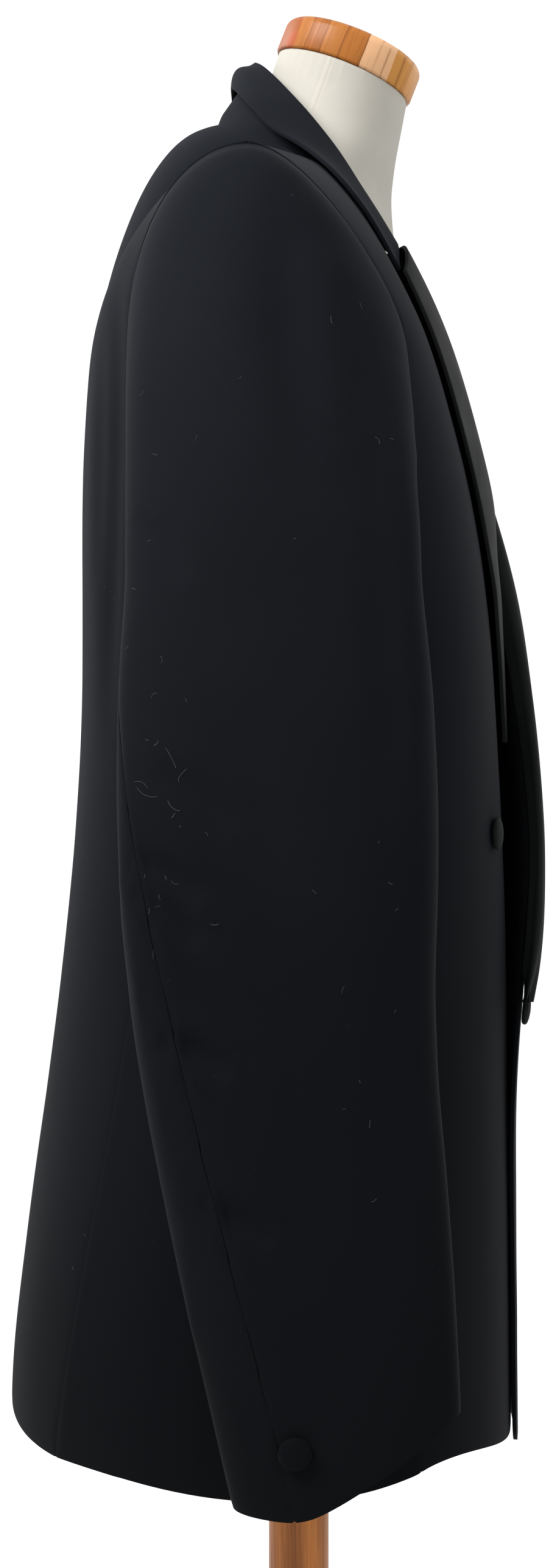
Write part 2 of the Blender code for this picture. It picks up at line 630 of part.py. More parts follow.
def material(name, colour, roughness, metallic=0.0):
    """A plain surface of one colour."""
    made = bpy.data.materials.new(name)
    made.use_nodes = True
    shader = made.node_tree.nodes["Principled BSDF"]
    shader.inputs["Base Color"].default_value = (*colour, 1.0)
    shader.inputs["Roughness"].default_value = roughness
    shader.inputs["Metallic"].default_value = metallic
    return made


def add_object(name, mesh, surface, collection, smooth=40):
    """Put a mesh in the scene as one named object."""
    mesh.materials.append(surface)
    obj = bpy.data.objects.new(name, mesh)
    collection.objects.link(obj)
    mesh.shade_smooth()
    mesh.set_sharp_from_angle(angle=math.radians(smooth))
    return obj


def grid_mesh(name, grid, outside):
    """An open sheet through a grid, its faces turned away from a point inside."""
    rows, columns = grid.shape[:2]
    faces = [(r * columns + c, r * columns + c + 1, (r + 1) * columns + c + 1, (r + 1) * columns + c)
             for r in range(rows - 1) for c in range(columns - 1)]
    mesh = bpy.data.meshes.new(name)
    mesh.from_pydata([tuple(point) for point in grid.reshape(-1, 3)], [], faces)
    total = sum(polygon.normal.dot(polygon.center - outside) * polygon.area for polygon in mesh.polygons)
    if total < 0:
        mesh.flip_normals()
    return mesh


def add_wall(name, grid, inside, surface, collection):
    """A cloth panel: a sheet through the grid, thickened towards the inside."""
    thicken(add_object(name, grid_mesh(name, grid, Vector(inside)), surface, collection))


def thicken(obj):
    """Give a sheet the cloth's thickness, behind its face."""
    solid = obj.modifiers.new("Thickness", "SOLIDIFY")
    solid.thickness = WALL
    solid.offset = -1.0


def add_panels(wool, collection):
    """Back, side and front panels of both sides."""
    half = SEAM / 2
    middle = (0.0, 0.015, 1.20)
    shoulder = SHOULDER_SEAM / 2
    back = trim(back_grid(), start=half, end=half, top=shoulder)
    side = trim(side_grid(), start=half, end=half, top=half)
    front = trim(front_grid(), end=half, top=shoulder)
    over = trim(lift_front(front_grid()), end=half, top=shoulder)
    for label, turn in (("left", np.array), ("right", mirrored)):
        add_wall("back_" + label, turn(back), middle, wool, collection)
        add_wall("side_" + label, turn(side), middle, wool, collection)
        add_wall("front_" + label, turn(over if label == "left" else front), middle, wool, collection)


def add_sleeves(wool, collection):
    """Top and under sleeves of both sides."""
    half = SLEEVE_SEAM / 2
    middle = (0.225, 0.010, 1.15)
    for part, under in (("top_sleeve_", False), ("under_sleeve_", True)):
        grid = trim(sleeve_grid(under), start=half, end=half)
        add_wall(part + "left", grid, middle, wool, collection)
        add_wall(part + "right", mirrored(grid), (-middle[0], *middle[1:]), wool, collection)


def add_lapels(satin, collection):
    """The two lapels, rolled back from their fronts."""
    left = lapel_grid(lift_front(front_grid()), LAPEL_LEFT)
    right = mirrored(lapel_grid(front_grid(), LAPEL_RIGHT))
    add_fold("lapel_left", left, satin, collection)
    add_fold("lapel_right", right, satin, collection)


def add_fold(name, grid, surface, collection):
    """A folded wall whose skin faces away from the front it lies on."""
    mesh = grid_mesh(name, grid, Vector(grid.reshape(-1, 3).mean(axis=0)))
    if mesh.polygons[len(LAPEL_FOLD) - 2].normal.y > 0:
        mesh.flip_normals()
    thicken(add_object(name, mesh, surface, collection))


def add_collar(wool, collection):
    """The collar's stand and its fall."""
    add_wall("under_collar", stand_grid(), (0.0, -0.010, 1.50), wool, collection)
    add_wall("collar", fall_grid(), (0.0, 0.010, 1.40), wool, collection)


def turned(name, profile, segments, surface, collection):
    """A solid turned round the Z axis from a profile that runs down its outer side."""
    mesh = bpy.data.meshes.new(name)
    edges = [(i, i + 1) for i in range(len(profile) - 1)]
    mesh.from_pydata([(point.radius, 0.0, point.z) for point in profile], edges, [])
    obj = add_object(name, mesh, surface, collection, smooth=35)
    screw = obj.modifiers.new("Turn", "SCREW")
    screw.steps = segments
    screw.render_steps = segments
    screw.use_merge_vertices = True
    screw.merge_threshold = 0.00001
    screw.use_smooth_shade = True
    return obj


def button_profile(radius):
    """A covered button's outline: a low dome, a rounded rim and a flat back."""
    rim = 1 - DOME_SHARE
    dome = [OutlinePoint(radius * math.sin(turn), BUTTON_HEIGHT * (rim + DOME_SHARE * math.cos(turn)))
            for turn in (math.radians(angle) for angle in (0, 25, 50, 72))]
    side = [OutlinePoint(radius, 0.45 * BUTTON_HEIGHT), OutlinePoint(0.93 * radius, 0.12 * BUTTON_HEIGHT)]
    return dome + side + [OutlinePoint(0.80 * radius, 0.0), OutlinePoint(0.0, 0.0)]


def place_on(obj, point, normal):
    """Set an object on a surface with its Z axis along the outward direction."""
    obj.location = Vector(point) + Vector(normal) * BUTTON_CLEARANCE
    obj.rotation_mode = "QUATERNION"
    obj.rotation_quaternion = Vector(normal).to_track_quat("Z", "Y")


def add_buttons(satin, collection):
    """Four covered buttons on the fronts and one at each cuff."""
    base, over = front_grid(), lift_front(front_grid())
    for place in FRONT_BUTTONS:
        on_right = place.name.endswith("right")
        if place.lifted:
            y, normal = front_surface(over, place.x, place.z)
        else:
            y, normal = front_surface(base, abs(place.x), place.z)
            normal = normal * np.array((-1.0 if on_right else 1.0, 1.0, 1.0))
        obj = turned(place.name, button_profile(FRONT_BUTTON_RADIUS), BUTTON_SEGMENTS, satin, collection)
        place_on(obj, (place.x, y, place.z), normal)
    face = [sleeve_ring(CUFF_BUTTON_Z, angle) for angle in range(70, 130, 2)]
    seat_x = max(point[0] for point in face if abs(point[1] - CUFF_BUTTON_Y) < CUFF_BUTTON_RADIUS)
    for label, side in (("left", 1), ("right", -1)):
        profile = button_profile(CUFF_BUTTON_RADIUS)
        obj = turned("cuff_button_" + label, profile, BUTTON_SEGMENTS, satin, collection)
        place_on(obj, (side * (seat_x - CUFF_BUTTON_SINK), CUFF_BUTTON_Y, CUFF_BUTTON_Z), (side, 0.0, 0.0))


def ring_points(ring):
    """Points of one ring of the dress form, tilted forward about its middle."""
    tilt = math.radians(ring.tilt)
    points = []
    for step in range(FORM_SEGMENTS):
        turn = 2 * math.pi * step / FORM_SEGMENTS
        cosine = math.cos(turn)
        reach = ring.back - ring.mid if cosine > 0 else ring.mid - ring.front
        x = ring.width * signed_power(math.sin(turn), ring.square)
        away = reach * signed_power(cosine, ring.square)
        points.append((x, ring.mid + away * math.cos(tilt), ring.z + away * math.sin(tilt)))
    return points


def add_form(linen, collection):
    """The form's torso and neck, one smooth closed body."""
    verts = [point for ring in FORM for point in ring_points(ring)]
    faces = []
    for r in range(len(FORM) - 1):
        for c in range(FORM_SEGMENTS):
            after = (c + 1) % FORM_SEGMENTS
            faces.append((r * FORM_SEGMENTS + c, (r + 1) * FORM_SEGMENTS + c,
                          (r + 1) * FORM_SEGMENTS + after, r * FORM_SEGMENTS + after))
    faces.append(tuple(range(FORM_SEGMENTS)))
    top = (len(FORM) - 1) * FORM_SEGMENTS
    faces.append(tuple(top + c for c in reversed(range(FORM_SEGMENTS))))
    mesh = bpy.data.meshes.new("form_torso")
    mesh.from_pydata(verts, [], faces)
    shape = bmesh.new()
    shape.from_mesh(mesh)
    bmesh.ops.recalc_face_normals(shape, faces=shape.faces)
    shape.to_mesh(mesh)
    shape.free()
    add_object("form_torso", mesh, linen, collection, smooth=50)


def add_stand(wood, cap_wood, collection):
    """Neck cap, pole and base."""
    cap = turned("neck_cap", CAP_OUTLINE, CAP_SEGMENTS, cap_wood, collection)
    cap.location = (0.0, CAP_BASE_Y, CAP_BASE_Z)
    cap.rotation_euler = (CAP_TILT, 0.0, 0.0)
    foot = BASE_OUTLINE[0].z + REST_GAP
    pole = (OutlinePoint(0.0, POLE_TOP), OutlinePoint(POLE_RADIUS, POLE_TOP),
            OutlinePoint(POLE_RADIUS + POLE_SPREAD, foot), OutlinePoint(0.0, foot))
    turned("pole", pole, POLE_SEGMENTS, wood, collection)
    turned("base", BASE_OUTLINE, BASE_SEGMENTS, wood, collection)


def main():
    """Build the jacket and its dress form."""
    clear_scene()
    collection = bpy.data.collections.new("tuxedo_on_dress_form")
    bpy.context.scene.collection.children.link(collection)
    wool = material("black wool", (0.010, 0.011, 0.014), 0.85)
    satin = material("black satin", (0.020, 0.021, 0.022), 0.40)
    linen = material("cream linen", (0.78, 0.75, 0.68), 0.90)
    wood = material("brown wood", (0.36, 0.17, 0.06), 0.45)
    cap_wood = material("honey wood", (0.62, 0.30, 0.09), 0.35)
    add_panels(wool, collection)
    add_sleeves(wool, collection)
    add_lapels(satin, collection)
    add_collar(wool, collection)
    add_buttons(satin, collection)
    add_form(linen, collection)
    add_stand(wood, cap_wood, collection)


main()
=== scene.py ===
"""Dressing of the tuxedo jacket and its dress form: fine cloth shells, materials, light and camera."""
import json
import math
from collections import namedtuple

import bmesh
import bpy
import numpy as np
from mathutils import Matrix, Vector, noise
from mathutils.bvhtree import BVHTree
from mathutils.kdtree import KDTree

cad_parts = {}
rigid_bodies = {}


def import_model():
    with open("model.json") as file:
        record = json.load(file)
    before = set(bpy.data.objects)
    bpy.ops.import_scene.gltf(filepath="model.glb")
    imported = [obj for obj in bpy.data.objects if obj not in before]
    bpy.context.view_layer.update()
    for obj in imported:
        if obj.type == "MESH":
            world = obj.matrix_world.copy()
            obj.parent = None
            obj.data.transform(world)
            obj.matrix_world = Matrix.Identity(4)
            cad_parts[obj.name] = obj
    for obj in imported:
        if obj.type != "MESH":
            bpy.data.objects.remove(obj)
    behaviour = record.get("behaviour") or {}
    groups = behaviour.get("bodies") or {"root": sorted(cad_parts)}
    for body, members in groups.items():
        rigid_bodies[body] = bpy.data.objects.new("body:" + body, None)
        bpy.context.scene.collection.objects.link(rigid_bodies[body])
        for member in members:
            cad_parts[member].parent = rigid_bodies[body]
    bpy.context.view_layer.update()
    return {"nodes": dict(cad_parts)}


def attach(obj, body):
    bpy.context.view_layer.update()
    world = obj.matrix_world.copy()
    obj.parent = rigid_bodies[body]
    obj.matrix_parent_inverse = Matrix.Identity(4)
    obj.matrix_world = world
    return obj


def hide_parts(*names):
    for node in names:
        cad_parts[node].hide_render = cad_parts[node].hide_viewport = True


for obj in list(bpy.data.objects):
    bpy.data.objects.remove(obj, do_unlink=True)
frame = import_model()

LEVELS = 3
SIDES = (("left", 1), ("right", -1))

# Camera
PHOTO_HEIGHT = 2576
FOCAL_PX = 3824.0
HORIZON_ROW = 1120.0
CAMERA_PLACE = (-1.3, 0.0116, 1.217)
SENSOR = 24.0

# Room
WORLD_STRENGTH = 1.10
FLOOR_HALF, FLOOR_DROP = 8, 0.0005
FLOOR_TONES = (0.90, 0.93)
Lamp = namedtuple("Lamp", "name place target size power")
CHEST = (0, 0, 1.25)
LAMPS = (Lamp("key", (-1.0, 1.3, 2.7), (-0.1, 0.05, 1.35), (1.0, 1.0), 92),
         Lamp("fill", (-1.6, -1.5, 2.2), CHEST, (1.0, 1.2), 9),
         Lamp("back_light", (1.2, 1.6, 2.1), CHEST, (1.0, 1.2), 16),
         Lamp("front_light", (1.2, -1.6, 2.1), CHEST, (1.0, 1.2), 6))

# Cloth shells
SHELL, COLLAR_SHELL = 0.0020, 0.0021
WELD = 1e-5
SHEET_ANGLE = math.radians(50)
# Below this height the sleeves' cells are long, so their steep edges are halved there
LONG_CELLS_Z, STEEP = 1.255, 0.7
# How far a border reaches out, so that sewn pieces meet
SEAM_REACH, SLEEVE_REACH = 0.0002, 0.0005
# How deep and wide a sewn border sinks, and how far in from it the folds are full
SEAM_DIP, DIP_WIDTH, BORDER_FADE = 0.00015, 0.0016, 0.005
# Unevenness: the scales of its broad and fine waves, the fine ones' share, and its height on each cloth
BROAD_WAVES, FINE_WAVES, FINE_SHARE = 9.0, 28.0, 0.35
WOOL_WAVES, SATIN_WAVES, COLLAR_WAVES = 0.0005, 0.0003, 0.0002
EDGE_ROUND, EDGE_ANGLE = 0.0004, math.radians(60)

# Folds: strokes seen from the side (y, z), in metres. Their depth is above 0 for a ridge, below 0 for a trough
Fold = namedtuple("Fold", "part points width depth")
FOLDS = (
    # Sleeve: the long soft trough under the shoulder, the ridge along its front and the trough behind that
    Fold("sleeve", ((0.006, 1.452), (0.008, 1.395), (0.004, 1.350), (-0.006, 1.315)), 0.012, -0.0020),
    Fold("sleeve", ((-0.037, 1.415), (-0.043, 1.360), (-0.049, 1.300), (-0.053, 1.200), (-0.054, 1.090)),
         0.008, 0.0013),
    Fold("sleeve", ((-0.022, 1.400), (-0.030, 1.340), (-0.036, 1.260), (-0.037, 1.180)), 0.009, -0.0008),
    # Sleeve: creases round the elbow that run forward and down from the hind seam
    Fold("sleeve", ((0.078, 1.140), (0.064, 1.132), (0.045, 1.118)), 0.0065, -0.0034),
    Fold("sleeve", ((0.077, 1.124), (0.060, 1.113), (0.046, 1.098)), 0.0060, -0.0030),
    Fold("sleeve", ((0.066, 1.056), (0.050, 1.052), (0.033, 1.040)), 0.0060, -0.0032),
    Fold("sleeve", ((0.066, 1.180), (0.048, 1.168), (0.030, 1.150)), 0.0075, -0.0020),
    Fold("sleeve", ((0.046, 0.985), (0.030, 0.975), (0.014, 0.965)), 0.0070, -0.0028),
    Fold("sleeve", ((0.078, 1.292), (0.064, 1.281), (0.052, 1.262)), 0.0060, -0.0016),
    Fold("sleeve", ((0.050, 1.240), (0.030, 1.190), (0.016, 1.120), (0.010, 1.050)), 0.016, -0.0010),
    # Back: long vertical folds beside the armhole
    Fold("back", ((0.0885, 1.420), (0.0900, 1.350), (0.0930, 1.270), (0.0960, 1.190)), 0.0040, -0.0014),
    Fold("back", ((0.0970, 1.400), (0.0990, 1.330), (0.1010, 1.260)), 0.0035, -0.0010),
)
# Where a fold fades as its cloth turns away from the side, how its ends taper, and the low rims beside it
FOLD_TURN = (-0.05, 0.20)
FOLD_TAPER = 0.7
RIM_HEIGHT, RIM_PLACE = 0.30, 1.9

# Edges that end behind what carries them: which way and how far, full at near and none at far
Tuck = namedtuple("Tuck", "carriers shift near far")
TUCKS = {
    "under_collar": Tuck(("front_left", "front_right", "back_left", "back_right"), (0, 0, -0.0046),
                         0.0045, 0.0130),
    "top_sleeve_left": Tuck(("front_left", "back_left"), (-0.0021, 0, 0), 0.0026, 0.0120),
    "top_sleeve_right": Tuck(("front_right", "back_right"), (0.0021, 0, 0), 0.0026, 0.0120),
    "under_sleeve_left": Tuck(("back_left", "side_left"), (-0.0018, 0, 0), 0.0026, 0.0080),
    "under_sleeve_right": Tuck(("back_right", "side_right"), (0.0018, 0, 0), 0.0026, 0.0080),
    "lapel_left": Tuck(("front_left",), (0, 0.0018, 0), 0.0012, 0.0045),
    "lapel_right": Tuck(("front_right",), (0, 0.0010, 0), 0.0008, 0.0035),
}

# The flat cut of each piece of cloth: width and length, how it is held and what it lies on
Cut = namedtuple("Cut", "part width length held rests")
CUTS = (Cut("back", 0.250, 0.700, "draped", "form_cover"),
        Cut("side", 0.190, 0.500, "draped", "form_cover"),
        Cut("front", 0.350, 0.690, "draped", "form_cover"),
        Cut("top_sleeve", 0.200, 0.640, "hung", "back_SIDE_cloth"),
        Cut("under_sleeve", 0.165, 0.540, "hung", "back_SIDE_cloth"),
        Cut("lapel", 0.100, 0.430, "folded", "front_SIDE_cloth"))
COLLAR_CUTS = (Cut("under_collar", 0.042, 0.300, "folded", "form_cover"),
               Cut("collar", 0.045, 0.340, "folded", "under_collar_cloth"))

# Neck cap
CAP_RADIUS, CAP_HEIGHT, CAP_ROUND = 0.0398, 0.0200, 0.0052
CAP_TILT = math.radians(21.4)
CAP_PLACE = (0.0, -0.0245, 1.5535)
CAP_SEGMENTS = 96
# The form's edges above this height border its flat top and stay sharp
CAP_RIM_Z = 1.5385

# Covered buttons: radius and height, the shares of both along the rim, and the tucks in the cover
FRONT_BUTTON, CUFF_BUTTON = (0.0085, 0.0045), (0.0075, 0.0045)
BUTTON_FRONTS = ("upper_left", "upper_right", "lower_left", "lower_right")
BUTTON_RIM = ((0.985, 0.52), (1.0, 0.40), (0.985, 0.28), (0.94, 0.16), (0.86, 0.08), (0.70, 0.03), (0.30, 0.0))
BUTTON_SEGMENTS, BUTTON_TUCKS, TUCK_DEPTH = 64, 18, 0.006
# The front buttons face out from a line this far behind the middle
BUTTON_LINE_Y = 0.01

# Loose fibres: the piece, how many, where on it (y and z), the seed and the lengths
Lint = namedtuple("Lint", "part count span_y span_z seed lengths")
SHORT_LINT, LONG_LINT = (0.0008, 0.0045), (0.006, 0.012)
LINT = (Lint("top_sleeve", 34, (-0.05, 0.09), (0.98, 1.47), 5, SHORT_LINT),
        Lint("top_sleeve", 12, (0.055, 0.09), (1.08, 1.40), 6, SHORT_LINT),
        Lint("top_sleeve", 5, (0.052, 0.082), (1.145, 1.195), 9, LONG_LINT),
        Lint("under_sleeve", 4, (0.02, 0.09), (0.9, 1.15), 7, SHORT_LINT),
        Lint("back", 12, (0.06, 0.13), (0.9, 1.46), 8, SHORT_LINT))
LINT_STEPS = 9
LINT_LIFT, LINT_BEND, LINT_THICK = 0.0004, 2.2, (0.00003, 0.00005)
LINT_FACING = 0.5

# Colours
WOOL_DARK, WOOL_LIGHT = (0.0038, 0.0045, 0.0062), (0.0055, 0.0063, 0.0083)
WOOL_FLECK, WOOL_SHEEN = (0.013, 0.0135, 0.017, 1.0), (0.80, 0.85, 1.0, 1.0)
SATIN_DARK, SATIN_LIGHT = (0.0060, 0.0068, 0.0068), (0.0095, 0.0104, 0.0100)
LINEN_DARK, LINEN_LIGHT, LINEN_SHADE = (0.285, 0.272, 0.238), (0.325, 0.312, 0.276), (0.42, 0.38, 0.30, 1.0)
WOOD_DARK, WOOD_LIGHT = (0.115, 0.036, 0.009), (0.32, 0.115, 0.028)
CAP_STREAK, CAP_GLUE, CAP_KNOT = (0.14, 0.040, 0.008, 1.0), (0.12, 0.035, 0.008, 1.0), (0.24, 0.040, 0.008, 1.0)
FIBRE_TONES = (0.05, 0.10)

# Threads and grain: waves or patches per metre, and how they lie
TWILL_SCALE, TWILL_TURN, NAP_SCALE, FLECK_SCALE = 620.0, (0.6, 0.5, 0.3), 1900.0, 900.0
FLOAT_SCALE, WEAVE_SCALE = 420.0, 640.0
# Painted light on the wool, brighter towards the top and darker towards the hem: how bright it is at heights above
# its foot
PAINTED_LIGHT_FOOT = 0.75
PAINTED_LIGHT_BY_HEIGHT = ((0.10, 0.30), (0.40, 0.58), (0.76, 1.05))
# The satin grows darker towards the lapel's foot as painted shade, and duller there
SATIN_FOOT = 1.0
SATIN_PAINTED_SHADE, SATIN_DULL = ((0.20, 0.85), (0.38, 1.0)), ((0.20, 0.08), (0.34, 0.0))
# The neck's side seam is the line y + SLOPE * z + OFFSET = 0; the ramps beside it are in steps of 5 mm
SEAM_SLOPE, SEAM_OFFSET, SEAM_STEPS = 0.353, -0.5319, 200.0
POLE_GRAIN, BASE_GRAIN, FINE_GRAIN = (60, 60, 4), (4, 60, 60), (700, 700, 25)

# The neck cap's staves: where each starts across the cap, as a share of its width, and its tone
Stave = namedtuple("Stave", "start tone")
STAVES = (Stave(0.0, (0.19, 0.050, 0.010)), Stave(0.115, (0.24, 0.086, 0.018)), Stave(0.20, (0.22, 0.072, 0.014)),
          Stave(0.31, (0.25, 0.090, 0.019)), Stave(0.445, (0.26, 0.090, 0.017)), Stave(0.60, (0.50, 0.285, 0.150)),
          Stave(0.805, (0.38, 0.168, 0.036)), Stave(0.93, (0.41, 0.197, 0.064)))
GLUED = STAVES[2:6]
STAVE_SLOPE, STAVE_MIDDLE, STAVE_WANDER = -12.56, 0.49, 0.02
STREAK_SCALE = (180, 420, 14)
KNOT_PLACE = (-0.022, 0.0315, 0.0045)
# Glue lines and the knot fade in steps of 1 / 60
FADE_STEPS = 60.0


def smooth(low, high, value):
    """0 at low, 1 at high, with a soft change between, for numbers or arrays."""
    share = np.clip((value - low) / (high - low), 0.0, 1.0)
    return share * share * (3 - 2 * share)


def quads(node):
    """A CAD node's mesh as a bmesh, welded and with its triangles joined."""
    shape = bmesh.new()
    shape.from_mesh(frame["nodes"][node].data)
    bmesh.ops.remove_doubles(shape, verts=shape.verts, dist=WELD)
    bmesh.ops.join_triangles(shape, faces=shape.faces, angle_face_threshold=math.pi,
                             angle_shape_threshold=math.pi)
    return shape


def as_mesh(name, shape):
    """A bmesh written to a new mesh."""
    mesh = bpy.data.meshes.new(name)
    shape.to_mesh(mesh)
    shape.free()
    return mesh


def outer_sheet(node):
    """The outward-facing sheet of a CAD cloth wall, which is its largest smooth one, as a quad mesh."""
    shape = quads(node)
    shape.faces.ensure_lookup_table()
    seen, sheets = set(), []
    for first in shape.faces:
        if first.index in seen:
            continue
        stack, sheet = [first], []
        seen.add(first.index)
        while stack:
            face = stack.pop()
            sheet.append(face)
            for edge in face.edges:
                if len(edge.link_faces) != 2 or edge.calc_face_angle(0.0) > SHEET_ANGLE:
                    continue
                for other in edge.link_faces:
                    if other.index not in seen:
                        seen.add(other.index)
                        stack.append(other)
        sheets.append(sheet)
    sheets.sort(key=lambda faces: -sum(face.calc_area() for face in faces))
    keep = set(sheets[0])
    bmesh.ops.delete(shape, geom=[face for face in shape.faces if face not in keep], context="FACES")
    if "sleeve" in node:
        steep = [edge for edge in shape.edges
                 if edge.verts[0].co.z + edge.verts[1].co.z < 2 * LONG_CELLS_Z
                 and abs(edge.verts[0].co.z - edge.verts[1].co.z) > STEEP * edge.calc_length()]
        bmesh.ops.subdivide_edges(shape, edges=steep, cuts=1, use_grid_fill=True)
    return as_mesh(node + "_sheet", shape)


def evaluated(obj):
    """Apply an object's modifiers to its mesh."""
    bpy.context.view_layer.update()
    depsgraph = bpy.context.evaluated_depsgraph_get()
    mesh = bpy.data.meshes.new_from_object(obj.evaluated_get(depsgraph))
    obj.modifiers.clear()
    old = obj.data
    obj.data = mesh
    bpy.data.meshes.remove(old)


def add(name, data):
    """Put a mesh, lamp or camera in the scene."""
    obj = bpy.data.objects.new(name, data)
    bpy.context.scene.collection.objects.link(obj)
    return obj


def subdivide(obj):
    """Smooth subdivision that keeps the borders where they are."""
    modifier = obj.modifiers.new("Fine", "SUBSURF")
    modifier.levels = modifier.render_levels = LEVELS
    modifier.boundary_smooth = "PRESERVE_CORNERS"
    evaluated(obj)


def arrays(mesh):
    """A mesh's points and normals."""
    points = np.zeros(len(mesh.vertices) * 3)
    normals = np.zeros(len(mesh.vertices) * 3)
    mesh.vertices.foreach_get("co", points)
    mesh.vertices.foreach_get("normal", normals)
    return points.reshape(-1, 3), normals.reshape(-1, 3)


def border_points(mesh):
    """The indices of the points on the sheet's border."""
    counts = {}
    for polygon in mesh.polygons:
        for key in polygon.edge_keys:
            counts[key] = counts.get(key, 0) + 1
    return {vertex for key, count in counts.items() if count == 1 for vertex in key}


def spread(mesh, points, border, reach):
    """Move the border's points out within the sheet, so that sewn pieces meet."""
    outward = {}
    for edge in mesh.edges:
        for vertex, other in (edge.vertices, reversed(edge.vertices)):
            if vertex in border and other not in border:
                outward[vertex] = outward.get(vertex, 0) + points[vertex] - points[other]
    points = points.copy()
    for vertex, way in outward.items():
        points[vertex] += way / np.linalg.norm(way) * reach
    return points


def border_distance(points, border):
    """Distance of each point to the sheet's border."""
    tree = KDTree(len(border))
    for index in border:
        tree.insert(points[index], index)
    tree.balance()
    return np.array([tree.find(point)[2] for point in points])


def stroke(points, normals, fold, sign):
    """How far one fold moves each point out."""
    flat = points[:, (1, 2)]
    best = np.full(len(points), np.inf)
    along = np.zeros(len(points))
    line = np.array(fold.points)
    lengths = np.linalg.norm(np.diff(line, axis=0), axis=1)
    total, done = lengths.sum(), 0.0
    for start, end, length in zip(line[:-1], line[1:], lengths):
        step = (end - start) / length
        reach = np.clip((flat - start) @ step, 0, length)
        away = np.linalg.norm(flat - start - reach[:, None] * step, axis=1)
        near = away < best
        best[near] = away[near]
        along[near] = ((done + reach) / total)[near]
        done += length
    facing = smooth(*FOLD_TURN, normals[:, 0] * sign)
    taper = np.sin(np.pi * np.clip(along, 0.0, 1.0)) ** FOLD_TAPER
    ratio = best / fold.width
    shape = np.exp(-ratio ** 2) - RIM_HEIGHT * np.exp(-(ratio - RIM_PLACE) ** 2)
    return fold.depth * shape * taper * facing


def soften(points, scale, height):
    """Gentle unevenness of worn cloth."""
    return np.array([noise.noise(Vector(point) * scale) for point in points]) * height


def tucked(points, tuck):
    """How far each point near its carriers moves, so that the piece ends behind their edge."""
    away = np.full(len(points), tuck.far)
    for node in tuck.carriers:
        mesh = frame["nodes"][node].data
        tree = BVHTree.FromPolygons([vertex.co for vertex in mesh.vertices],
                                    [polygon.vertices for polygon in mesh.polygons])
        away = np.minimum(away, [tree.find_nearest(point)[3] for point in points])
    return (1 - smooth(tuck.near, tuck.far, away))[:, None] * np.array(tuck.shift)


def cloth(node, material, waves, thickness=SHELL, dip=SEAM_DIP):
    """A fine shell on a CAD cloth wall, with its folds."""
    obj = add(node + "_cloth", outer_sheet(node))
    subdivide(obj)
    points, normals = arrays(obj.data)
    border = border_points(obj.data)
    away = border_distance(points, border)
    points = spread(obj.data, points, border, SLEEVE_REACH if "sleeve" in node else SEAM_REACH)
    if node in TUCKS:
        points = points + tucked(points, TUCKS[node])
    moved = soften(points, BROAD_WAVES, waves) + soften(points, FINE_WAVES, waves * FINE_SHARE)
    for _, sign in SIDES:
        for fold in FOLDS:
            if fold.part in node:
                side = points[:, 0] * sign > 0
                moved = moved + stroke(points, normals, fold, sign) * side
    moved = moved * smooth(0.0, BORDER_FADE, away) - dip * np.exp(-(away / DIP_WIDTH) ** 2)
    points = points + normals * moved[:, None]
    obj.data.vertices.foreach_set("co", points.ravel())
    solid = obj.modifiers.new("Thickness", "SOLIDIFY")
    solid.thickness = thickness
    solid.offset = -1.0
    bevel = obj.modifiers.new("Edge", "BEVEL")
    bevel.width = EDGE_ROUND
    bevel.segments = 2
    bevel.limit_method = "ANGLE"
    bevel.angle_limit = EDGE_ANGLE
    evaluated(obj)
    return dress(obj, material, node)


